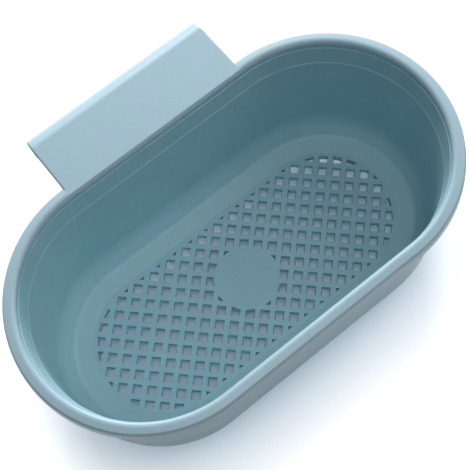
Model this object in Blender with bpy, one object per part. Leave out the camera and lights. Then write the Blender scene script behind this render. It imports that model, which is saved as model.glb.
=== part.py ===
# Sink drain basket: an oval strainer tub that hangs over a sink's edge by a broad hook.
# Metres, +Z up. X runs along the basket, the hook is at +Y, and the feet stand on Z = 0.
# The origin is below the middle of the whole outline, hook included.

import math

import bmesh
import bpy

# Fits
FIT_GAP = 0.0003            # clearance between pieces that touch, seat or snap
CUT_PAST = 0.0010           # how far a cutting tool runs past the face that it cuts

# Plan: all outlines are offsets from the line between the centres of the two round ends
END_CENTRES = 0.1116        # distance between those centres

# Strainer floor
STRAINER_RADIUS = 0.0400    # end radius of the plate
STRAINER_THICK = 0.0027
HOLE_SIDE = 0.0050
HOLE_PITCH = 0.0080         # along both diagonal directions
FIELD_BORDER = 0.0018       # solid edge around the holes
DISC_RADIUS = 0.0176        # solid disc in the middle
LEAST_HOLE_SHARE = 0.10     # cut holes smaller than this share of a whole one are left out

# Tub
SEAT_WIDTH = 0.0018         # ledge that carries the strainer floor
SEAT_THICK = 0.0018
RECESS_FLAT = 0.0001        # least flat between the recess and the inside fillet
BASE_FLAT = 0.0002          # least flat ring below the seat
FLOOR_FILLET = 0.0168       # inside, between floor and wall
BASE_FILLET = 0.0200        # outside, between underside and wall
INNER_DRAFT = math.radians(1.40)
OUTER_DRAFT = math.radians(1.75)
STEP_HEIGHT = 0.0714        # of the step in the wall, above the floor
STEP_WIDTH = 0.0010
STEP_FALL = 0.0002
MOUTH_DRAFT = math.radians(2.40)
MOUTH_WALL = 0.00175        # wall thickness above the step
MOUTH_SHELF = 0.0011        # how far the tub's mouth stands in from the rim
MOUTH_ROUND = 0.0003
FLANGE_THICK = 0.0015

# Rim and its hook
RIM_HEIGHT = 0.0870         # of the rim's crest, above the floor
RIM_INNER = 0.0612          # end radius of the rim's inner face
RIM_WIDTH = 0.0065
RIM_THICK = 0.0034
RIM_INNER_ROUND = 0.0023
RIM_OUTER_ROUND = 0.0013
RIM_FALL = 0.00075          # how far the top falls from its crest to its outer edge
SKIRT_DEPTH = 0.0062        # from the crest
SKIRT_THICK = 0.0016
BEAD_REACH = 0.0009         # snap bead inside the skirt, below the tub's flange
BEAD_HEIGHT = 0.0003
HOOK_ROOT = 0.0002          # how far past the rim's crest the plate begins, inside the rim
HOOK_WIDTH = 0.1073
HOOK_THICK = 0.0025
HOOK_EDGE = 0.0008          # chamfer along the hook's edges
HOOK_GAP = 0.0338           # from the rim's outer face to the leg's inner face
HOOK_BEND = 0.0120          # outer radius
LEG_DEPTH = 0.0330          # from the plate's top to the leg's tip
LEG_TAPER = math.radians(5.0)
LEG_CORNER = 0.0100

# Grip pad on the hook's leg
PAD_WIDTH = 0.0700
PAD_HEIGHT = 0.0140
PAD_THICK = 0.0015
PAD_CORNER = 0.0030

# Feet
FOOT_SPACING = 0.1040       # along X
FOOT_STAND = 0.0030         # height of the tub's underside above the table
FOOT_RADIUS = 0.0045
FOOT_CHAMFER = 0.0005
STEM_RADIUS = 0.0020
SOCKET_DEPTH = 0.0030
BOSS_WALL = 0.0026
BOSS_MARGIN = 0.0008        # between the boss and the strainer's recess

# Fineness of the round stretches
END_STEPS = 24              # around each half-round end
FILLET_STEPS = 8
ROUND_STEPS = 4
BEND_STEPS = 6
TURN_STEPS = 24             # around feet and sockets
DISC_STEPS = 48

# Places that follow from the sizes
END_X = END_CENTRES / 2
RECESS_RADIUS = STRAINER_RADIUS + FIT_GAP
BASE_Z = FOOT_STAND
SEAT_Z = BASE_Z + SEAT_THICK
STRAINER_Z = SEAT_Z + FIT_GAP
FLOOR_Z = STRAINER_Z + STRAINER_THICK
CREST_Z = FLOOR_Z + RIM_HEIGHT
RIM_UNDER_Z = CREST_Z - RIM_THICK
FLANGE_Z = RIM_UNDER_Z - FIT_GAP
FLANGE_UNDER_Z = FLANGE_Z - FLANGE_THICK
RIM_OUTER = RIM_INNER + RIM_WIDTH
SKIRT_INNER = RIM_OUTER - SKIRT_THICK
MOUTH_RADIUS = RIM_INNER - MOUTH_SHELF
LEG_INNER = RIM_OUTER + HOOK_GAP
LEG_OUTER = LEG_INNER + HOOK_THICK
BASKET_Y = (RIM_OUTER - LEG_OUTER) / 2
SOCKET_RADIUS = STEM_RADIUS + FIT_GAP
BOSS_RADIUS = SOCKET_RADIUS + BOSS_WALL
FOOT_Y = RECESS_RADIUS + BOSS_MARGIN + BOSS_RADIUS


def clear_scene():
    for thing in list(bpy.data.objects):
        bpy.data.objects.remove(thing, do_unlink=True)


def plastic(name, colour, roughness):
    material = bpy.data.materials.new(name)
    material.use_nodes = True
    shader = material.node_tree.nodes["Principled BSDF"]
    shader.inputs["Base Color"].default_value = (*colour, 1.0)
    shader.inputs["Roughness"].default_value = roughness
    shader.inputs["Metallic"].default_value = 0.0
    return material


def add_object(name, mesh, material=None):
    """Turns a bmesh into an object, with faces out and its round stretches shaded smooth."""
    bmesh.ops.recalc_face_normals(mesh, faces=mesh.faces)
    data = bpy.data.meshes.new(name)
    mesh.to_mesh(data)
    mesh.free()
    data.shade_smooth()
    data.set_sharp_from_angle(angle=math.radians(30))
    thing = bpy.data.objects.new(name, data)
    bpy.context.collection.objects.link(thing)
    if material:
        data.materials.append(material)
    return thing


def cut_with(target, tool, operation="DIFFERENCE"):
    """Adds a Boolean to the target and hides its tool."""
    boolean = target.modifiers.new(operation.lower(), "BOOLEAN")
    boolean.operation = operation
    boolean.solver = "EXACT"
    boolean.object = tool
    tool.hide_render = True
    tool.display_type = "WIRE"


def arc(centre, radius, start, end, steps):
    """Points (radius, height) along an arc, angles in degrees from the outward direction."""
    points = []
    for step in range(steps + 1):
        angle = math.radians(start + (end - start) * step / steps)
        points.append((centre[0] + radius * math.cos(angle), centre[1] + radius * math.sin(angle)))
    return points


def wall_fillet(wall, draft, floor_z, radius, least_centre):
    """Arc from a drafted wall down onto a floor. The wall is its end radius at the floor's height."""
    lean = 1 / math.cos(draft) - math.tan(draft)
    radius = min(radius, (wall - least_centre) / lean)
    centre = (wall - radius * lean, floor_z + radius)
    return arc(centre, radius, -math.degrees(draft), -90, FILLET_STEPS)


def plan_outline(radius, height):
    """Points of the oval at one offset and height, around the basket's middle."""
    points = []
    for end in (1, -1):
        for step in range(END_STEPS + 1):
            angle = math.pi * (step / END_STEPS - 0.5)
            x = end * (END_X + radius * math.cos(angle))
            y = end * radius * math.sin(angle)
            points.append((x, y + BASKET_Y, height))
    return points


def circle_points(centre, radius, height, steps):
    points = []
    for step in range(steps):
        angle = 2 * math.pi * step / steps
        x = centre[0] + radius * math.cos(angle)
        y = centre[1] + radius * math.sin(angle)
        points.append((x, y, height))
    return points


def add_band(mesh, lower, upper):
    """Faces between two closed loops of vertices."""
    count = len(lower)
    for index in range(count):
        after = (index + 1) % count
        mesh.faces.new((lower[index], lower[after], upper[after], upper[index]))


def swept_ring(profile):
    """Carries a closed profile of (radius, height) points once around the oval."""
    mesh = bmesh.new()
    loops = []
    for radius, height in profile:
        loops.append([mesh.verts.new(point) for point in plan_outline(radius, height)])
    for lower, upper in zip(loops, loops[1:] + loops[:1]):
        add_band(mesh, lower, upper)
    return mesh


def stacked(outlines):
    """Closed solid through a stack of outlines, capped at both ends."""
    mesh = bmesh.new()
    loops = []
    for outline in outlines:
        loops.append([mesh.verts.new(point) for point in outline])
    for lower, upper in zip(loops, loops[1:]):
        add_band(mesh, lower, upper)
    mesh.faces.new(loops[0])
    mesh.faces.new(loops[-1])
    return mesh


def pegs(places, radius, bottom, top, steps):
    """Upright pegs of one size in one mesh, round or, with four steps, square on their corner."""
    mesh = bmesh.new()
    for place in places:
        loops = []
        for height in (bottom, top):
            loops.append([mesh.verts.new(point) for point in circle_points(place, radius, height, steps)])
        add_band(mesh, *loops)
        mesh.faces.new(loops[0])
        mesh.faces.new(loops[1])
    return mesh


def foot_places():
    """Name and centre of each foot, front being the side away from the hook."""
    places = {}
    for side, y in (("front", -FOOT_Y), ("back", FOOT_Y)):
        for hand, x in (("left", -FOOT_SPACING / 2), ("right", FOOT_SPACING / 2)):
            places[f"foot_{side}_{hand}"] = (x, BASKET_Y + y)
    return places


def tub_profile():
    """Section of the tub's wall, from its mouth down the inside and up the outside."""
    step_z = FLOOR_Z + STEP_HEIGHT
    step_radius = MOUTH_RADIUS - (FLANGE_Z - step_z) * math.tan(MOUTH_DRAFT)
    inner_top = (step_radius - STEP_WIDTH, step_z - STEP_FALL)
    inner_foot = inner_top[0] - (inner_top[1] - FLOOR_Z) * math.tan(INNER_DRAFT)
    outer_top = MOUTH_RADIUS + MOUTH_WALL
    outer_foot = outer_top - (FLANGE_UNDER_Z - BASE_Z) * math.tan(OUTER_DRAFT)
    seat_inner = RECESS_RADIUS - SEAT_WIDTH

    profile = [(MOUTH_RADIUS + MOUTH_ROUND, FLANGE_Z), (MOUTH_RADIUS, FLANGE_Z - MOUTH_ROUND)]
    profile += [(step_radius, step_z), inner_top]
    profile += wall_fillet(inner_foot, INNER_DRAFT, FLOOR_Z, FLOOR_FILLET, RECESS_RADIUS + RECESS_FLAT)
    profile += [(RECESS_RADIUS, FLOOR_Z), (RECESS_RADIUS, SEAT_Z)]
    profile += [(seat_inner, SEAT_Z), (seat_inner, BASE_Z)]
    base_round = wall_fillet(outer_foot, OUTER_DRAFT, BASE_Z, BASE_FILLET, seat_inner + BASE_FLAT)
    profile += reversed(base_round)
    profile += [(outer_top, FLANGE_UNDER_Z)]
    profile += [(SKIRT_INNER - FIT_GAP, FLANGE_UNDER_Z), (SKIRT_INNER - FIT_GAP, FLANGE_Z)]
    return profile


def add_tub(material):
    tub = add_object("basket_tub", swept_ring(tub_profile()), material)
    places = list(foot_places().values())
    bosses = pegs(places, BOSS_RADIUS, BASE_Z, FLOOR_Z - FIT_GAP, TURN_STEPS)
    sockets = pegs(places, SOCKET_RADIUS, BASE_Z - CUT_PAST, BASE_Z + SOCKET_DEPTH, TURN_STEPS)
    cut_with(tub, add_object("boss_tool", bosses), "UNION")
    cut_with(tub, add_object("socket_tool", sockets))
    return tub


def rim_profile():
    """Section of the rolled rim: band, skirt and snap bead."""
    crest = RIM_INNER + RIM_INNER_ROUND
    shoulder = RIM_OUTER - RIM_OUTER_ROUND
    edge_z = CREST_Z - RIM_FALL
    bead_inner = SKIRT_INNER - BEAD_REACH
    bead_top = FLANGE_UNDER_Z - FIT_GAP
    skirt_z = CREST_Z - SKIRT_DEPTH

    profile = [(RIM_INNER, RIM_UNDER_Z)]
    profile += arc((crest, CREST_Z - RIM_INNER_ROUND), RIM_INNER_ROUND, 180, 90, ROUND_STEPS)
    profile += arc((shoulder, edge_z - RIM_OUTER_ROUND), RIM_OUTER_ROUND, 90, 0, ROUND_STEPS)
    profile += [(RIM_OUTER, skirt_z), (SKIRT_INNER, skirt_z)]
    profile += [(bead_inner, bead_top - BEAD_HEIGHT), (bead_inner, bead_top), (SKIRT_INNER, bead_top)]
    profile += [(SKIRT_INNER, RIM_UNDER_Z)]
    return profile


def hook_stations():
    """Outer face (y, z), direction through the thickness, and half width along the hook."""
    half = HOOK_WIDTH / 2
    bend_y = LEG_OUTER - HOOK_BEND
    bend_z = CREST_Z - HOOK_BEND
    tip_z = CREST_Z - LEG_DEPTH
    stations = [(RIM_INNER + RIM_INNER_ROUND + HOOK_ROOT, CREST_Z, (0.0, -1.0), half)]
    for step in range(BEND_STEPS + 1):
        angle = math.pi / 2 * (1 - step / BEND_STEPS)
        out_y = math.cos(angle)
        out_z = math.sin(angle)
        stations.append((bend_y + HOOK_BEND * out_y, bend_z + HOOK_BEND * out_z, (-out_y, -out_z), half))
    for step in range(FILLET_STEPS + 1):
        turn = math.pi / 2 * step / FILLET_STEPS
        z = tip_z + LEG_CORNER * (1 - math.sin(turn))
        narrowing = (bend_z - z) * math.tan(LEG_TAPER) + LEG_CORNER * (1 - math.cos(turn))
        stations.append((LEG_OUTER, z, (-1.0, 0.0), half - narrowing))
    return stations


def add_hook_tool():
    """Plate, bend and leg of the hook as one strip, with chamfered edges."""
    outlines = []
    for y, z, inward, half in hook_stations():
        flat = half - HOOK_EDGE
        deep = HOOK_THICK - HOOK_EDGE
        section = [(-flat, 0.0), (flat, 0.0), (half, HOOK_EDGE), (half, deep)]
        section += [(flat, HOOK_THICK), (-flat, HOOK_THICK), (-half, deep), (-half, HOOK_EDGE)]
        outline = []
        for x, depth in section:
            outline.append((x, BASKET_Y + y + inward[0] * depth, z + inward[1] * depth))
        outlines.append(outline)
    return add_object("hook_tool", stacked(outlines))


def add_rim(material):
    rim = add_object("hook_rim_frame", swept_ring(rim_profile()), material)
    cut_with(rim, add_hook_tool(), "UNION")
    return rim


def hole_share(centre):
    """Share of a square hole that lies in the field: inside the border and outside the disc."""
    grid = 9
    inside = 0
    for row in range(grid):
        for column in range(grid):
            along = ((row + 0.5) / grid - 0.5) * HOLE_SIDE
            across = ((column + 0.5) / grid - 0.5) * HOLE_SIDE
            x = centre[0] + (along + across) / math.sqrt(2)
            y = centre[1] + (along - across) / math.sqrt(2)
            offset = math.hypot(max(abs(x) - END_X, 0.0), y)
            if offset < STRAINER_RADIUS - FIELD_BORDER and math.hypot(x, y) > DISC_RADIUS:
                inside += 1
    return inside / grid ** 2


def hole_centres():
    """Centres of the holes, on a diagonal grid with a crossing of webs in the middle."""
    reach = math.ceil((END_X + STRAINER_RADIUS) / HOLE_PITCH) + 1
    centres = []
    for row in range(-reach, reach):
        for column in range(-reach, reach):
            along = (row + 0.5) * HOLE_PITCH
            across = (column + 0.5) * HOLE_PITCH
            centre = ((along + across) / math.sqrt(2), (along - across) / math.sqrt(2))
            if hole_share(centre) > LEAST_HOLE_SHARE:
                centres.append(centre)
    return centres


def add_hole_tool():
    """Square pegs for all the holes, trimmed to the border and to the solid disc."""
    def reach(count):
        return STRAINER_Z - count * CUT_PAST, FLOOR_Z + count * CUT_PAST

    centres = [(x, y + BASKET_Y) for x, y in hole_centres()]
    holes = add_object("hole_tool", pegs(centres, HOLE_SIDE / math.sqrt(2), *reach(2), 4))
    field = stacked([plan_outline(STRAINER_RADIUS - FIELD_BORDER, height) for height in reach(1)])
    disc = pegs([(0.0, BASKET_Y)], DISC_RADIUS, *reach(3), DISC_STEPS)
    cut_with(holes, add_object("field_tool", field), "INTERSECT")
    cut_with(holes, add_object("disc_tool", disc))
    return holes


def add_strainer(material):
    """The lift-out floor, with its origin in the middle of its underside."""
    plate = stacked([plan_outline(STRAINER_RADIUS, height) for height in (STRAINER_Z, FLOOR_Z)])
    bmesh.ops.translate(plate, verts=plate.verts, vec=(0.0, -BASKET_Y, -STRAINER_Z))
    strainer = add_object("strainer_floor", plate, material)
    strainer.location = (0.0, BASKET_Y, STRAINER_Z)
    cut_with(strainer, add_hole_tool())
    return strainer


def add_feet(material):
    """Turned feet: a chamfered disc with a stem for its socket."""
    disc_top = FOOT_STAND - FIT_GAP
    rings = [(FOOT_RADIUS - FOOT_CHAMFER, 0.0), (FOOT_RADIUS, FOOT_CHAMFER), (FOOT_RADIUS, disc_top)]
    rings += [(STEM_RADIUS, disc_top), (STEM_RADIUS, disc_top + SOCKET_DEPTH)]
    for name, place in foot_places().items():
        mesh = stacked([circle_points((0.0, 0.0), radius, height, TURN_STEPS) for radius, height in rings])
        foot = add_object(name, mesh, material)
        foot.location = (*place, 0.0)


def add_grip_pad(material):
    """Soft strip in the middle of the straight part of the leg's inner face."""
    middle_z = CREST_Z - (HOOK_BEND + LEG_DEPTH) / 2
    back_y = BASKET_Y + LEG_INNER - FIT_GAP
    centre_x = PAD_WIDTH / 2 - PAD_CORNER
    centre_z = PAD_HEIGHT / 2 - PAD_CORNER
    outline = []
    for side_x, side_z, start in ((1, 1, 0), (-1, 1, 90), (-1, -1, 180), (1, -1, 270)):
        corner = (side_x * centre_x, middle_z + side_z * centre_z)
        outline += arc(corner, PAD_CORNER, start, start + 90, ROUND_STEPS)
    faces = [[(x, y, z) for x, z in outline] for y in (back_y - PAD_THICK, back_y)]
    add_object("hook_grip_pad", stacked(faces), material)


def main():
    clear_scene()
    add_rim(plastic("rim_polypropylene", (0.32, 0.46, 0.54), 0.42))
    add_tub(plastic("tub_polypropylene", (0.31, 0.45, 0.53), 0.40))
    add_strainer(plastic("strainer_polypropylene", (0.31, 0.45, 0.53), 0.42))
    add_feet(plastic("foot_rubber", (0.20, 0.29, 0.34), 0.70))
    add_grip_pad(plastic("pad_rubber", (0.22, 0.31, 0.36), 0.70))


main()
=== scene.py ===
# Sink drain basket, dressed: the rim with its hook, the tub, the strainer floor, the feet and the grip
# pad are modelled again with the fine edges of a moulding, in the places of the imported frame, and each
# gets its finish; the tub and strainer carry the rim's plastic a little duller, as painted shade.

import math

import bpy
from mathutils import Matrix, Vector


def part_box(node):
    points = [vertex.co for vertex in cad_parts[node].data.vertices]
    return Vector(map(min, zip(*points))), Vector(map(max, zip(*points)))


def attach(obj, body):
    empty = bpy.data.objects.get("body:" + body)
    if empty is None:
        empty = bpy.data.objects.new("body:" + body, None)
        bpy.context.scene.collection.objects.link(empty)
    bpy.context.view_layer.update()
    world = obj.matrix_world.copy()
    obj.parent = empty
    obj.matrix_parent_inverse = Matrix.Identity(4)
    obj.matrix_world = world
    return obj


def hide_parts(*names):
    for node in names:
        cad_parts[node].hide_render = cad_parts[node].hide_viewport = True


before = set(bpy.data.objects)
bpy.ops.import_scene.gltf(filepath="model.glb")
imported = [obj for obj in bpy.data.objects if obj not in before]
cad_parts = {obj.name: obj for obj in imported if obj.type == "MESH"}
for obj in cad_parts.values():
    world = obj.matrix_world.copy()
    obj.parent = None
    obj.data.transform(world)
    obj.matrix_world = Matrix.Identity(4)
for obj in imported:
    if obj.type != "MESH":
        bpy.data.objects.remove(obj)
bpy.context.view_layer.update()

MM = 0.001

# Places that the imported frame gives
strainer_low, strainer_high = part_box("strainer_floor")
rim_low, rim_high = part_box("hook_rim_frame")
pad_low, pad_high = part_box("hook_grip_pad")
STRAINER_RADIUS = (strainer_high.y - strainer_low.y) / 2
END_X = (strainer_high.x - strainer_low.x) / 2 - STRAINER_RADIUS
BASKET_Y = (strainer_low.y + strainer_high.y) / 2
BASE_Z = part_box("basket_tub")[0].z
STRAINER_Z = strainer_low.z
FLOOR_Z = strainer_high.z
CREST_Z = rim_high.z
HOOK_FACE_Y = rim_high.y
HOOK_TIP_Z = rim_low.z
RIM_OUTER = rim_high.x - END_X

# Rim: its section is given as offsets from the line between the centres of the two round ends
RIM_WIDTH = 6.5 * MM
RIM_THICK = 4.6 * MM
RIM_INNER_ROUND = 2.2 * MM
RIM_OUTER_ROUND = 1.5 * MM
CREST_FLAT = 0.5 * MM
CREST_ROUND = 2.5 * MM
RIM_SLOPE = math.radians(7.0)
SKIRT_DEPTH = 6.2 * MM
SKIRT_THICK = 1.6 * MM
SKIRT_FLARE = 0.7 * MM
BEAD_REACH = 0.9 * MM
BEAD_RISE = 0.3 * MM
RIM_EDGE = 0.25 * MM
END_DRAW = 1.1 * MM         # how much nearer the middle the round ends stand than in the solids
DRAWN_ABOVE = 45.0 * MM     # the tub is drawn in above this height only

# Tub: its section too is given as offsets from that line
SEAM = 0.06 * MM
MOUTH_SHELF = 0.5 * MM
MOUTH_WALL = 1.15 * MM
MOUTH_DRAFT = math.radians(5.7)
MOUTH_EDGE = 0.3 * MM
FLANGE_THICK = 1.0 * MM
STEP_HEIGHT = 70.6 * MM
STEP_WIDTH = 0.4 * MM
STEP_FALL = 0.7 * MM
STEP_EDGE = 0.4 * MM
INNER_DRAFT = math.radians(1.40)
OUTER_DRAFT = math.radians(1.75)
WALL_FOOT = 10.4 * MM       # height above the floor at which the wall turns in
FLOOR_FILLET = 16.8 * MM
RING_OUTER = 50.4 * MM      # crease between the wall's foot and the ring around the strainer floor
RING_RISE = 1.4 * MM
RING_EDGE = 4.0 * MM
BASE_FILLET = 20.0 * MM
SEAT_WIDTH = 1.8 * MM
SEAT_THICK = 1.8 * MM

# Strainer floor
HOLE_SIDE = 5.0 * MM
HOLE_PITCH = 8.0 * MM
FIELD_BORDER = 2.45 * MM
FIELD_REACH = 1.2 * MM      # how much further out the field of holes goes at both ends
DISC_RADIUS = 18.6 * MM
DISC_STEPS = 96
LEAST_HOLE_SHARE = 0.03
SHARE_GRID = 9
HOLE_EDGE = 0.2 * MM
EDGE_FLARE = 2.2            # how far a hole's rounded edge opens at the face, in edge heights
EDGE_TURN = 0.3             # offset and depth of the point between, in edge heights
HOLE_TAPER = 0.42 * MM
PLATE_EDGE = 0.05 * MM
PLATE_SEAM = 0.02 * MM
FLAT_ANGLE = math.radians(0.3)

# How far the cutters of the holes stand past both faces of the plate, each by its own length
FIELD_PAST = 1.5 * MM
HOLE_PAST = 2.0 * MM
DISC_PAST = 3.0 * MM

# Hook
HOOK_WIDTH = 107.3 * MM
HOOK_THICK = 2.5 * MM
HOOK_BEND = 10.0 * MM
HOOK_SHIFT = -1.2 * MM
HOOK_ROOT = 1.1 * MM
ROOT_EDGE = 0.3 * MM
BEND_STEPS = 16
HOOK_EDGE = 1.1 * MM
HOOK_EDGE_STEPS = 5
LEG_TAPER = math.radians(2.65)
LEG_CORNER = 10.0 * MM
LEG_CORNER_STEPS = 16

# Feet, their bosses and the grip pad
FOOT_EDGE = 0.5 * MM
BOSS_RADIUS = 4.9 * MM
BOSS_DEPTH = 0.3 * MM       # of the top of a boss below the floor
SOCKET_RADIUS = 2.3 * MM
SOCKET_DEPTH = 3.0 * MM
STEM_RADIUS = 2.0 * MM
PAD_RIB = 0.4 * MM
PAD_EDGE = 0.3 * MM
PAD_CORNER = 3.0 * MM
PAD_CORNER_STEPS = 8
RIB_PITCH = 2.2 * MM
RIB_HEIGHT = 1.1 * MM
RIB_SHORTER = 3 * PAD_CORNER
RIBS_PER_SIDE = 2           # above and below the one in the middle

# Fineness of the round stretches
END_STEPS = 96
TURN_STEPS = 48
LEAST_ARC_STEPS = 3
ARC_STEP = 1.2 * MM
FINE_EDGE_STEPS = 3
TINY = 0.001 * MM
SAME_TURN = 0.01
SMOOTH_ANGLE = math.radians(40)

# Grain of the finishes
CLOUD_SIZE = 14 * MM
MOULD_GRAIN = 0.45 * MM     # really about 0.1 mm, drawn coarser so that it shows
MOULD_BUMP = 0.02 * MM
DUST_SIZE = 0.8 * MM
DUST_BUMP = 0.03 * MM

# Camera
CAMERA_PLACE = (-0.088086, -0.177388, 0.545707)
CAMERA_AIM = (0.010615, 0.005874, 0.0078)
CAMERA_ROLL = math.radians(-10.91)
LENS = 78.4
SENSOR = 36.0

# Studio: place, width and power of each soft lamp, the table and the room
SOFTBOXES = {
    "low_softbox": ((0.92, 1.18, 0.54), 0.6, 21.2),
    "right_softbox": ((1.18, -0.32, 1.08), 1.0, 5.2),
    "back_softbox": ((0.38, 1.24, 0.84), 0.6, 8.5),
    "top_softbox": ((0.1, -0.2, 1.62), 0.3, 2.8),
}
LAMP_AIM = (0, 0, 0.05)
TABLE_SIZE = 8.0
SHADE_REACH = 40 * MM
ROOM_LIGHT = 0.12


def linear(code):
    """Linear colour from an sRGB hex code."""
    parts = []
    for start in (1, 3, 5):
        value = int(code[start:start + 2], 16) / 255
        parts.append(value / 12.92 if value <= 0.04045 else ((value + 0.055) / 1.055) ** 2.4)
    return (*parts, 1.0)


def pick(piece):
    """Makes the piece the only selected one, in object mode."""
    if bpy.context.mode != "OBJECT":
        bpy.ops.object.mode_set(mode="OBJECT")
    bpy.ops.object.select_all(action="DESELECT")
    if piece:
        bpy.context.view_layer.objects.active = piece
        piece.select_set(True)


def choose(piece, kind, test):
    """Opens edit mode on the piece with only those of its parts selected that pass the test."""
    pick(piece)
    bpy.ops.object.mode_set(mode="EDIT")
    bpy.ops.mesh.select_mode(type=kind)
    bpy.ops.mesh.select_all(action="DESELECT")
    bpy.ops.object.mode_set(mode="OBJECT")
    parts = {"VERT": piece.data.vertices, "EDGE": piece.data.edges, "FACE": piece.data.polygons}[kind]
    for part in parts:
        part.select = test(part)
    bpy.ops.object.mode_set(mode="EDIT")


def ends_of(piece, edge):
    """Places of an edge's two ends."""
    return [piece.data.vertices[index].co for index in edge.vertices]


def settle(piece, name):
    """Puts the piece's place into its mesh, turns its faces out and names it."""
    pick(piece)
    bpy.ops.object.transform_apply(location=True, rotation=True, scale=True)
    choose(piece, "FACE", lambda face: True)
    bpy.ops.mesh.remove_doubles(threshold=TINY)
    bpy.ops.mesh.normals_make_consistent(inside=False)
    pick(piece)
    piece.name = name
    piece.data.name = name
    return piece


def apply_modifier(piece, kind, **settings):
    """Adds a modifier with its settings and applies it at once."""
    pick(piece)
    modifier = piece.modifiers.new("shape", kind)
    for name, value in settings.items():
        setattr(modifier, name, value)
    bpy.ops.object.modifier_apply(modifier=modifier.name)


def combine(piece, operation, tool):
    """Joins the tool to the piece, cuts it out or keeps what they share, and removes the tool."""
    apply_modifier(piece, "BOOLEAN", operation=operation, solver="EXACT", object=tool)
    bpy.data.objects.remove(tool, do_unlink=True)


def smooth(piece):
    """Smooth shading on the round stretches, with the normals of flat faces kept flat."""
    pick(piece)
    bpy.ops.object.shade_smooth_by_angle(angle=SMOOTH_ANGLE)
    apply_modifier(piece, "WEIGHTED_NORMAL", keep_sharp=True)


def rounded(corners, closed=True):
    """Points of a section through corners (offset, height, radius), each corner rounded to its radius."""
    points = []
    for index, (offset, height, radius) in enumerate(corners):
        here = Vector((offset, height))
        if radius == 0 or (not closed and index in (0, len(corners) - 1)):
            points.append(here)
            continue
        back = (Vector(corners[index - 1][:2]) - here).normalized()
        ahead = (Vector(corners[(index + 1) % len(corners)][:2]) - here).normalized()
        half = back.angle(ahead) / 2
        centre = here + (back + ahead).normalized() * radius / math.sin(half)
        first = here + back * radius / math.tan(half) - centre
        last = here + ahead * radius / math.tan(half) - centre
        turn = first.angle_signed(last)
        steps = LEAST_ARC_STEPS + round(abs(turn) * radius / ARC_STEP)
        for step in range(steps + 1):
            points.append(centre + Matrix.Rotation(-turn * step / steps, 2) @ first)
    return points


def drawn_section(points, place, across, closed):
    """Draws a section point by point, its offsets measured from the place along one level direction."""
    pick(None)
    spots = [Vector(place) + Vector(across) * point.x + Vector((0, 0, point.y)) for point in points]
    bpy.ops.mesh.primitive_plane_add(size=MM, location=spots[0])
    piece = bpy.context.object
    bpy.ops.object.mode_set(mode="EDIT")
    bpy.ops.mesh.select_mode(type="VERT")
    bpy.ops.mesh.merge(type="CENTER")
    for before, after in zip(spots, spots[1:]):
        bpy.ops.mesh.extrude_region_move(TRANSFORM_OT_translate={"value": after - before})
    if closed:
        choose(piece, "VERT", lambda vert: vert.index in (0, len(spots) - 1))
        bpy.ops.mesh.edge_face_add()
    choose(piece, "VERT", lambda vert: True)
    return piece


def swept_oval(name, points, closed=True, drawn_above=math.inf, draw=-END_DRAW):
    """Turns a section round the right-hand end, extends it to the middle and mirrors it. Above the given
    height, both round ends are then moved in or out a little."""
    piece = drawn_section(points, (END_X, BASKET_Y, 0), (0, -1, 0), closed)
    bpy.ops.mesh.spin(steps=END_STEPS, angle=-math.pi, center=(END_X, BASKET_Y, 0), axis=(0, 0, 1))
    settle(piece, name)
    choose(piece, "VERT", lambda vert: vert.co.x < END_X + TINY)
    bpy.ops.mesh.extrude_region_move(TRANSFORM_OT_translate={"value": (-END_X, 0, 0)})
    choose(piece, "VERT", lambda vert: vert.co.x > END_X - TINY and vert.co.z > drawn_above)
    bpy.ops.transform.translate(value=(draw, 0, 0))
    apply_modifier(piece, "MIRROR", merge_threshold=TINY)
    settle(piece, name)
    if not closed:
        join_caps(piece)
    return piece


def join_caps(piece):
    """Makes one face of the flat fan at the top of a solid, and one of that at its bottom."""
    heights = [vert.co.z for vert in piece.data.vertices]
    for height in (max(heights), min(heights)):
        choose(piece, "FACE", lambda face: abs(face.center.z - height) < TINY)
        bpy.ops.mesh.dissolve_faces()
    pick(piece)


def turned(name, points, place, steps=TURN_STEPS):
    """Turns an open section, drawn from axis to axis, once round the upright through the place."""
    piece = drawn_section(points, place, (1, 0, 0), False)
    bpy.ops.mesh.spin(steps=steps, angle=2 * math.pi, center=place, axis=(0, 0, 1))
    settle(piece, name)
    join_caps(piece)
    return piece


def own_copy(piece, name, shift):
    """A copy with its own mesh, moved and with its place in that mesh."""
    copy = piece.copy()
    copy.data = piece.data.copy()
    bpy.context.collection.objects.link(copy)
    copy.location = shift
    pick(copy)
    bpy.ops.object.transform_apply(location=True, rotation=True, scale=True)
    copy.name = name
    copy.data.name = name
    return copy


def rim_ring():
    """Band with a rounded inner edge, falling outwards to its skirt, and the snap bead inside."""
    inner = RIM_OUTER - RIM_WIDTH
    flat_end = inner + RIM_INNER_ROUND + CREST_FLAT
    slope_start = flat_end + CREST_ROUND * math.tan(RIM_SLOPE / 2)
    outer_top = CREST_Z - (RIM_OUTER - slope_start) * math.tan(RIM_SLOPE)
    skirt_inner = RIM_OUTER - SKIRT_THICK
    skirt_z = CREST_Z - SKIRT_DEPTH
    under_z = CREST_Z - RIM_THICK
    bead_z = under_z - FLANGE_THICK - 2 * SEAM
    bead_inner = skirt_inner - BEAD_REACH
    corners = [(inner, under_z, RIM_EDGE), (inner, CREST_Z, RIM_INNER_ROUND)]
    corners += [(slope_start, CREST_Z, CREST_ROUND), (RIM_OUTER, outer_top, RIM_OUTER_ROUND)]
    corners += [(RIM_OUTER + SKIRT_FLARE, skirt_z, 2 * RIM_EDGE)]
    corners += [(skirt_inner + SKIRT_FLARE, skirt_z, RIM_EDGE)]
    corners += [(bead_inner, bead_z - BEAD_RISE, 0), (bead_inner, bead_z, 0)]
    corners += [(skirt_inner, bead_z, 0), (skirt_inner, under_z, 0)]
    return swept_oval("rim_with_hook", rounded(corners), drawn_above=0)


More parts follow.
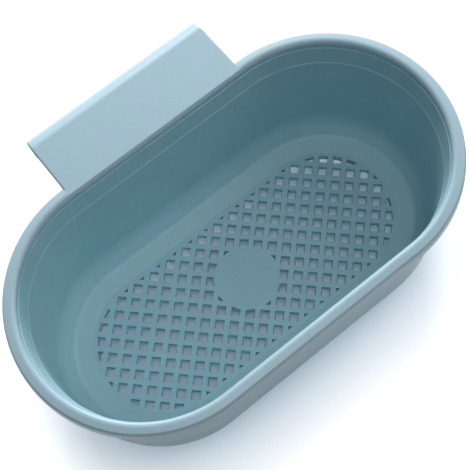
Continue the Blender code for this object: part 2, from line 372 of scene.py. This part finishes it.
def hook_strip():
    """Flat plate off the back of the rim, bent down into a tapered leg with round corners."""
    root_y = BASKET_Y + RIM_OUTER - RIM_WIDTH + HOOK_ROOT
    rim_y = BASKET_Y + RIM_OUTER - RIM_OUTER_ROUND
    bend_y = HOOK_FACE_Y - HOOK_BEND
    bend_z = CREST_Z - HOOK_BEND
    middle = (HOOK_SHIFT, (root_y + rim_y) / 2, CREST_Z - HOOK_THICK / 2)
    pick(None)
    bpy.ops.mesh.primitive_cube_add(size=1, location=middle,
                                    scale=(HOOK_WIDTH, rim_y - root_y, HOOK_THICK))
    hook = settle(bpy.context.object, "hook")
    choose(hook, "FACE", lambda face: face.normal.y > 0.9)
    bpy.ops.mesh.extrude_region_move(TRANSFORM_OT_translate={"value": (0, bend_y - rim_y, 0)})
    bpy.ops.mesh.spin(steps=BEND_STEPS, angle=math.pi / 2, center=(0, bend_y, bend_z), axis=(1, 0, 0))
    bpy.ops.mesh.extrude_region_move(TRANSFORM_OT_translate={"value": (0, 0, HOOK_TIP_Z - bend_z)})
    settle(hook, "hook")

    def turn_of(vert):
        return math.atan2(vert.co.y - bend_y, vert.co.z - bend_z) if vert.co.z > bend_z - TINY else -1

    def narrow(length, height):
        """Narrows what is selected by the taper over a length from where the bend starts."""
        share = 1 - 2 * length * math.tan(LEG_TAPER) / HOOK_WIDTH
        bpy.ops.transform.resize(value=(share, 1, 1), center_override=(HOOK_SHIFT, bend_y, height))

    for step in range(1, BEND_STEPS + 1):
        turn = step * math.radians(90) / BEND_STEPS
        choose(hook, "VERT", lambda vert: abs(turn_of(vert) - turn) < SAME_TURN)
        narrow(turn * HOOK_BEND, bend_z)
    choose(hook, "VERT", lambda vert: vert.co.z < HOOK_TIP_Z + TINY)
    narrow(bend_z - HOOK_TIP_Z + HOOK_BEND * math.radians(90), HOOK_TIP_Z)

    def across_tip(edge):
        first, last = ends_of(hook, edge)
        return max(first.z, last.z) < HOOK_TIP_Z + TINY and abs(first.x - last.x) < TINY

    choose(hook, "EDGE", across_tip)
    reach = LEG_CORNER * math.tan(math.radians(45) - LEG_TAPER / 2)
    bpy.ops.mesh.bevel(offset=reach, segments=LEG_CORNER_STEPS)
    choose(hook, "EDGE", lambda edge: False)
    bpy.ops.mesh.edges_select_sharp(sharpness=SMOOTH_ANGLE)
    pick(hook)
    sharp = [edge.select and min(end.y for end in ends_of(hook, edge)) > rim_y - TINY
             for edge in hook.data.edges]
    choose(hook, "EDGE", lambda edge: sharp[edge.index])
    bpy.ops.mesh.bevel(offset=HOOK_EDGE, segments=HOOK_EDGE_STEPS)

    def at_root(edge):
        return all(end.y < root_y + TINY and end.z > CREST_Z - TINY for end in ends_of(hook, edge))

    choose(hook, "EDGE", at_root)
    bpy.ops.mesh.bevel(offset=ROOT_EDGE, segments=FINE_EDGE_STEPS)
    return settle(hook, "hook")


def rim_with_hook():
    """The rim and its hook, which are one moulding."""
    rim = rim_ring()
    combine(rim, "UNION", hook_strip())
    settle(rim, "rim_with_hook")
    smooth(rim)
    return rim


def foot_places():
    """Name and middle of each foot's node."""
    places = {}
    for side in ("front", "back"):
        for hand in ("left", "right"):
            low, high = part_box(f"foot_{side}_{hand}")
            places[f"foot_{side}_{hand}"] = ((low.x + high.x) / 2, (low.y + high.y) / 2, 0)
    return places


def tub():
    """Deep wall with a step below its mouth, a flange under the rim and a seat for the strainer floor."""
    flange_z = CREST_Z - RIM_THICK - SEAM
    flange_under_z = flange_z - FLANGE_THICK
    mouth = RIM_OUTER - RIM_WIDTH - MOUTH_SHELF
    step_z = FLOOR_Z + STEP_HEIGHT
    step = mouth - (flange_z - step_z) * math.tan(MOUTH_DRAFT)
    inner_foot = step - STEP_WIDTH - (step_z - STEP_FALL - FLOOR_Z - WALL_FOOT) * math.tan(INNER_DRAFT)
    outer_top = mouth + MOUTH_WALL
    outer_foot = outer_top - (flange_under_z - BASE_Z) * math.tan(OUTER_DRAFT)
    recess = STRAINER_RADIUS + PLATE_SEAM
    seat_inner = STRAINER_RADIUS - SEAT_WIDTH
    seat_z = BASE_Z + SEAT_THICK
    flange_outer = RIM_OUTER - SKIRT_THICK - SEAM
    corners = [(flange_outer, flange_z, 0), (mouth, flange_z, MOUTH_EDGE), (step, step_z, STEP_EDGE)]
    corners += [(step - STEP_WIDTH, step_z - STEP_FALL, STEP_EDGE)]
    corners += [(inner_foot, FLOOR_Z + WALL_FOOT, FLOOR_FILLET)]
    corners += [(RING_OUTER, FLOOR_Z + RING_RISE, RING_EDGE)]
    corners += [(recess, FLOOR_Z, PLATE_EDGE), (recess, seat_z, 0), (seat_inner, seat_z, 0)]
    corners += [(seat_inner, BASE_Z, RIM_EDGE), (outer_foot, BASE_Z, BASE_FILLET)]
    corners += [(outer_top, flange_under_z, RIM_EDGE), (flange_outer, flange_under_z, 0)]
    piece = swept_oval("tub", rounded(corners), drawn_above=DRAWN_ABOVE)
    boss_top = FLOOR_Z - BOSS_DEPTH
    boss = [(0, BASE_Z, 0), (BOSS_RADIUS, BASE_Z, 0)]
    boss += [(BOSS_RADIUS, boss_top, 0), (0, boss_top, 0)]
    socket_top = BASE_Z + SOCKET_DEPTH
    socket = [(0, BASE_Z - MM, 0), (SOCKET_RADIUS, BASE_Z - MM, 0), (SOCKET_RADIUS, socket_top, 0)]
    socket += [(0, socket_top, 0)]
    for place in foot_places().values():
        combine(piece, "UNION", turned("boss", rounded(boss, closed=False), place))
        combine(piece, "DIFFERENCE", turned("socket", rounded(socket, closed=False), place))
    settle(piece, "tub")
    smooth(piece)
    return piece


def hole_share(x, y):
    """Share of a square hole that lies in the field: inside the border and outside the disc."""
    inside = 0
    for row in range(SHARE_GRID):
        for column in range(SHARE_GRID):
            along = ((row + 0.5) / SHARE_GRID - 0.5) * HOLE_SIDE / math.sqrt(2)
            across = ((column + 0.5) / SHARE_GRID - 0.5) * HOLE_SIDE / math.sqrt(2)
            spot = (x + along + across, y + along - across)
            offset = math.hypot(max(abs(spot[0]) - END_X - FIELD_REACH, 0), spot[1])
            if offset < STRAINER_RADIUS - FIELD_BORDER and math.hypot(*spot) > DISC_RADIUS:
                inside += 1
    return inside / SHARE_GRID ** 2


def flared(half_width, edge, past):
    """Section of a cutter that widens, or narrows, by the rounded edge of the holes at both faces and
    stands past them. It has the draft that makes each hole a little smaller below."""
    taper = math.copysign(HOLE_TAPER, edge)
    widest = half_width + EDGE_FLARE * edge
    half = [(widest, past), (widest, HOLE_EDGE / 2)]
    half += [(half_width + EDGE_TURN * edge, -EDGE_TURN * HOLE_EDGE), (half_width, -HOLE_EDGE)]
    upper = [Vector((offset, FLOOR_Z + height)) for offset, height in half]
    lower = [Vector((offset - taper, STRAINER_Z - height)) for offset, height in reversed(half)]
    return [Vector((0, FLOOR_Z + past)), *upper, *lower, Vector((0, STRAINER_Z - past))]


def hole_field():
    """The space that holes may take: inside the plate's border and outside its solid disc."""
    border = flared(STRAINER_RADIUS - FIELD_BORDER, HOLE_EDGE, FIELD_PAST)
    field = swept_oval("field", border, closed=False, drawn_above=0, draw=FIELD_REACH)
    disc = turned("disc", flared(DISC_RADIUS, -HOLE_EDGE, DISC_PAST), (0, BASKET_Y, 0), DISC_STEPS)
    combine(field, "DIFFERENCE", disc)
    return field


def hole_cutters():
    """Square cutters on the diagonal grid, trimmed to the border of the field and to the solid disc."""
    square = flared(HOLE_SIDE / 2, HOLE_EDGE, HOLE_PAST)
    section = [Vector((point.x * math.sqrt(2), point.y)) for point in square]
    first = turned("hole", section, (0, BASKET_Y, 0), steps=4)
    reach = math.ceil((END_X + STRAINER_RADIUS) / HOLE_PITCH) + 1
    cutters = []
    for row in range(-reach, reach):
        for column in range(-reach, reach):
            x = (row + column + 1) * HOLE_PITCH / math.sqrt(2)
            y = (row - column) * HOLE_PITCH / math.sqrt(2)
            if hole_share(x, y) > LEAST_HOLE_SHARE:
                cutter = first.copy()
                cutter.data = first.data.copy()
                cutter.location = (x, y, 0)
                bpy.context.collection.objects.link(cutter)
                cutters.append(cutter)
    bpy.data.objects.remove(first, do_unlink=True)
    pick(cutters[0])
    for cutter in cutters:
        cutter.select_set(True)
    bpy.ops.object.join()
    holes = settle(cutters[0], "holes")
    combine(holes, "INTERSECT", hole_field())
    return settle(holes, "holes")


def strainer_plate():
    """The lift-out floor: a thin oval plate with square holes and a solid disc in the middle."""
    corners = [(0, STRAINER_Z, 0), (STRAINER_RADIUS, STRAINER_Z, PLATE_EDGE)]
    corners += [(STRAINER_RADIUS, FLOOR_Z, PLATE_EDGE), (0, FLOOR_Z, 0)]
    plate = swept_oval("strainer_plate", rounded(corners, closed=False), closed=False)
    combine(plate, "DIFFERENCE", hole_cutters())
    choose(plate, "FACE", lambda face: True)
    bpy.ops.mesh.dissolve_limited(angle_limit=FLAT_ANGLE)
    settle(plate, "strainer_plate")
    smooth(plate)
    return plate


def feet():
    """Turned soft feet: a disc with rounded edges and a stem in its socket."""
    disc_top = BASE_Z - SEAM
    stem_top = BASE_Z + SOCKET_DEPTH - SEAM
    low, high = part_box("foot_front_left")
    radius = (high.x - low.x) / 2
    corners = [(0, 0, 0), (radius, 0, FOOT_EDGE), (radius, disc_top, FOOT_EDGE / 2)]
    corners += [(STEM_RADIUS, disc_top, 0), (STEM_RADIUS, stem_top, FOOT_EDGE / 2), (0, stem_top, 0)]
    pattern = turned("foot", rounded(corners, closed=False), (0, 0, 0))
    smooth(pattern)
    made = {name: own_copy(pattern, f"soft_{name}", place) for name, place in foot_places().items()}
    bpy.data.objects.remove(pattern, do_unlink=True)
    return made


def grip_pad():
    """Soft strip with rounded corners and level ribs on the face that meets the sink's edge."""
    middle = (pad_low + pad_high) / 2
    size = pad_high - pad_low
    pick(None)
    bpy.ops.mesh.primitive_cube_add(size=1, location=(middle.x, middle.y + PAD_RIB / 2, middle.z),
                                    scale=(size.x, size.y - PAD_RIB, size.z))
    pad = settle(bpy.context.object, "grip_pad")

    def through(edge):
        first, last = ends_of(pad, edge)
        return abs(first.y - last.y) > TINY

    choose(pad, "EDGE", through)
    bpy.ops.mesh.bevel(offset=PAD_CORNER, segments=PAD_CORNER_STEPS)

    def around_face(edge):
        return max(end.y for end in ends_of(pad, edge)) < middle.y

    choose(pad, "EDGE", around_face)
    bpy.ops.mesh.bevel(offset=PAD_EDGE, segments=FINE_EDGE_STEPS)
    settle(pad, "grip_pad")
    for count in range(-RIBS_PER_SIDE, RIBS_PER_SIDE + 1):
        place = (middle.x, pad_low.y + PAD_RIB, middle.z + count * RIB_PITCH)
        pick(None)
        bpy.ops.mesh.primitive_cube_add(size=1, location=place,
                                        scale=(size.x - RIB_SHORTER, 2 * PAD_RIB, RIB_HEIGHT))
        rib = settle(bpy.context.object, "rib")
        choose(rib, "EDGE", lambda edge: max(end.y for end in ends_of(rib, edge)) < pad_low.y + TINY)
        bpy.ops.mesh.bevel(offset=PAD_EDGE, segments=FINE_EDGE_STEPS)
        combine(pad, "UNION", settle(rib, "rib"))
    settle(pad, "grip_pad")
    smooth(pad)
    return pad


def add_node(tree, kind, inputs, **settings):
    """Adds a node with its settings; each input is a plain value or the output that feeds it."""
    made = tree.nodes.new(kind)
    for name, value in settings.items():
        setattr(made, name, value)
    for name, value in inputs.items():
        if isinstance(value, bpy.types.NodeSocket):
            tree.links.new(value, made.inputs[name])
        else:
            made.inputs[name].default_value = value
    return made


def blank_material(name):
    """A new material with its node tree, its shader and the place on the object in metres."""
    material = bpy.data.materials.new(name)
    material.use_nodes = True
    tree = material.node_tree
    shader = tree.nodes["Principled BSDF"]
    place = add_node(tree, "ShaderNodeTexCoord", {}).outputs["Object"]
    return material, tree, shader, place


def moulded_polypropylene(name, colour, paler, roughness):
    """Satin injection-moulded polypropylene: one colour all through, with a very faint cloudiness from
    the flow of the melt, and a fine spark-eroded grain from the mould that spreads its highlights."""
    material, tree, shader, place = blank_material(name)
    # clouds hardly stronger than what the eye takes for an even colour
    clouds = add_node(tree, "ShaderNodeTexNoise", {"Vector": place, "Scale": 1 / CLOUD_SIZE,
                                                   "Detail": 3.0, "Roughness": 0.55})
    tone = add_node(tree, "ShaderNodeMapRange", {"Value": clouds.outputs["Fac"], "From Min": 0.35,
                                                 "From Max": 0.65})
    shade = add_node(tree, "ShaderNodeMix", {"Factor": tone.outputs["Result"], "A": linear(colour),
                                             "B": linear(paler)}, data_type="RGBA")
    tree.links.new(shade.outputs["Result"], shader.inputs["Base Color"])
    grain = add_node(tree, "ShaderNodeTexNoise", {"Vector": place, "Scale": 1 / MOULD_GRAIN,
                                                  "Detail": 2.0})
    spread = add_node(tree, "ShaderNodeMapRange", {"Value": grain.outputs["Fac"], "From Min": 0.3,
                                                   "From Max": 0.7, "To Min": roughness - 0.04,
                                                   "To Max": roughness + 0.04})
    tree.links.new(spread.outputs["Result"], shader.inputs["Roughness"])
    bump = add_node(tree, "ShaderNodeBump", {"Height": grain.outputs["Fac"], "Strength": 0.25,
                                             "Distance": MOULD_BUMP})
    tree.links.new(bump.outputs["Normal"], shader.inputs["Normal"])
    shader.inputs["IOR"].default_value = 1.49
    return material


def rim_polypropylene():
    """The rim and hook: the lit copy of the one plastic they share with the tub and strainer, a shade
    bluer and paler than the tub's copy.
    """
    return moulded_polypropylene("rim_satin_polypropylene", "#A7C9D4", "#ABC8DA", 0.40)


def tub_polypropylene():
    """The tub's greyish teal: the same plastic as the rim, made a little duller as painted shade for its
    deep walls.
    """
    return moulded_polypropylene("tub_satin_polypropylene", "#A1C8D2", "#A4CBD5", 0.42)


def strainer_polypropylene():
    """The strainer floor takes the tub's duller copy of the plastic, by a hair paler: painted shade for
    the floor deep in the basket.
    """
    return moulded_polypropylene("strainer_satin_polypropylene", "#A2C9D6", "#A5CCD9", 0.42)


def soft_rubber(name, colour, darker):
    """Soft moulded thermoplastic rubber: dull, a shade deeper than the plastic, with a dusty grain."""
    material, tree, shader, place = blank_material(name)
    dust = add_node(tree, "ShaderNodeTexNoise", {"Vector": place, "Scale": 1 / DUST_SIZE, "Detail": 3.0})
    shade = add_node(tree, "ShaderNodeMix", {"Factor": dust.outputs["Fac"], "A": linear(darker),
                                             "B": linear(colour)}, data_type="RGBA")
    tree.links.new(shade.outputs["Result"], shader.inputs["Base Color"])
    bump = add_node(tree, "ShaderNodeBump", {"Height": dust.outputs["Fac"], "Strength": 0.3,
                                             "Distance": DUST_BUMP})
    tree.links.new(bump.outputs["Normal"], shader.inputs["Normal"])
    shader.inputs["Roughness"].default_value = 0.7
    shader.inputs["IOR"].default_value = 1.5
    return material


def finish_piece(piece, material, body, slot, *nodes):
    """Gives the piece its finish and says which body carries it and which nodes it stands for."""
    piece.data.materials.clear()
    piece.data.materials.append(material)
    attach(piece, body)
    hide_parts(*nodes)


def dress():
    """Models every piece and gives it its finish, body and nodes."""
    finish_piece(rim_with_hook(), rim_polypropylene(), "basket", "rim_plastic", "hook_rim_frame")
    finish_piece(tub(), tub_polypropylene(), "basket", "tub_plastic", "basket_tub")
    finish_piece(strainer_plate(), strainer_polypropylene(), "strainer", "strainer_plastic",
                 "strainer_floor")
    foot_finish = soft_rubber("foot_soft_rubber", "#7D939D", "#738892")
    for node, foot in feet().items():
        finish_piece(foot, foot_finish, "basket", "foot_rubber", node)
    pad_finish = soft_rubber("pad_soft_rubber", "#82979F", "#788D96")
    finish_piece(grip_pad(), pad_finish, "basket", "pad_rubber", "hook_grip_pad")


def add_camera():
    """Camera at the photograph's angle, from high on the front left."""
    data = bpy.data.cameras.new("camera")
    data.sensor_width = SENSOR
    data.lens = LENS
    camera = bpy.data.objects.new("camera", data)
    bpy.context.collection.objects.link(camera)
    ahead = Vector(CAMERA_AIM) - Vector(CAMERA_PLACE)
    turn = ahead.to_track_quat("-Z", "Y").to_matrix() @ Matrix.Rotation(CAMERA_ROLL, 3, "Z")
    camera.matrix_world = Matrix.Translation(CAMERA_PLACE) @ turn.to_4x4()
    bpy.context.scene.camera = camera


def seen_directly(tree):
    """1 for rays from the camera and for those that come by reflection or through glass, else 0."""
    path = add_node(tree, "ShaderNodeLightPath", {}).outputs
    bent = add_node(tree, "ShaderNodeMath", {0: path["Is Glossy Ray"], 1: path["Is Transmission Ray"]},
                    operation="MAXIMUM").outputs["Value"]
    return add_node(tree, "ShaderNodeMath", {0: path["Is Camera Ray"], 1: bent},
                    operation="MAXIMUM").outputs["Value"]


def add_floor():
    """Wide pale table with a dull finish. Seen directly it glows up to white where the room is open above
    it; close to the basket and under it the glow is cut back and turned blue by how little of the open
    room is in sight, as painted shade and a painted blue bounce from the teal plastic."""
    pick(None)
    bpy.ops.mesh.primitive_plane_add(size=TABLE_SIZE, location=(0, 0, 0))
    floor = bpy.context.object
    floor.name = "table"
    material = bpy.data.materials.new("pale_table")
    material.use_nodes = True
    tree = material.node_tree
    shader = tree.nodes["Principled BSDF"]
    shader.inputs["Base Color"].default_value = linear("#D0D0D6")
    shader.inputs["Roughness"].default_value = 0.9
    # glow seen directly, cut back by how shut in each spot is: painted shade beside and under the basket
    free = add_node(tree, "ShaderNodeAmbientOcclusion", {"Distance": SHADE_REACH},
                    samples=16).outputs["AO"]
    fill = add_node(tree, "ShaderNodeMapRange", {"Value": free, "From Min": -0.12, "To Max": 0.8})
    lift = add_node(tree, "ShaderNodeMath", {0: seen_directly(tree), 1: fill.outputs["Result"]},
                    operation="MULTIPLY")
    tree.links.new(lift.outputs["Value"], shader.inputs["Emission Strength"])
    # painted blue bounce light from the teal plastic in the shut-in spots, white in the open
    painted_blue_bounce = add_node(tree, "ShaderNodeMix", {"Factor": free, "A": linear("#9CD6F8"),
                                            "B": linear("#FFFFFF")}, data_type="RGBA")
    tree.links.new(painted_blue_bounce.outputs["Result"], shader.inputs["Emission Color"])
    floor.data.materials.append(material)


def add_softbox(name, place, width, power):
    """Square soft white lamp that faces the basket."""
    data = bpy.data.lights.new(name, "AREA")
    data.shape = "SQUARE"
    data.size = width
    data.energy = power
    lamp = bpy.data.objects.new(name, data)
    bpy.context.collection.objects.link(lamp)
    lamp.location = place
    lamp.rotation_euler = (Vector(LAMP_AIM) - Vector(place)).to_track_quat("-Z", "Y").to_euler()


def add_world():
    """Dim even light from the room, which is plain white where the camera or a reflection meets it."""
    world = bpy.data.worlds.new("studio")
    bpy.context.scene.world = world
    world.use_nodes = True
    tree = world.node_tree
    room = tree.nodes["Background"]
    room.inputs["Color"].default_value = linear("#FFFFFF")
    room.inputs["Strength"].default_value = ROOM_LIGHT
    white = add_node(tree, "ShaderNodeBackground", {"Color": linear("#FFFFFF"), "Strength": 1.0})
    either = add_node(tree, "ShaderNodeMixShader", {0: seen_directly(tree), 1: room.outputs["Background"],
                                                    2: white.outputs["Background"]})
    tree.links.new(either.outputs["Shader"], tree.nodes["World Output"].inputs["Surface"])


add_camera()
dress()
add_floor()
for lamp_name, lamp_settings in SOFTBOXES.items():
    add_softbox(lamp_name, *lamp_settings)
add_world()
bpy.context.scene.view_settings.view_transform = "Standard"
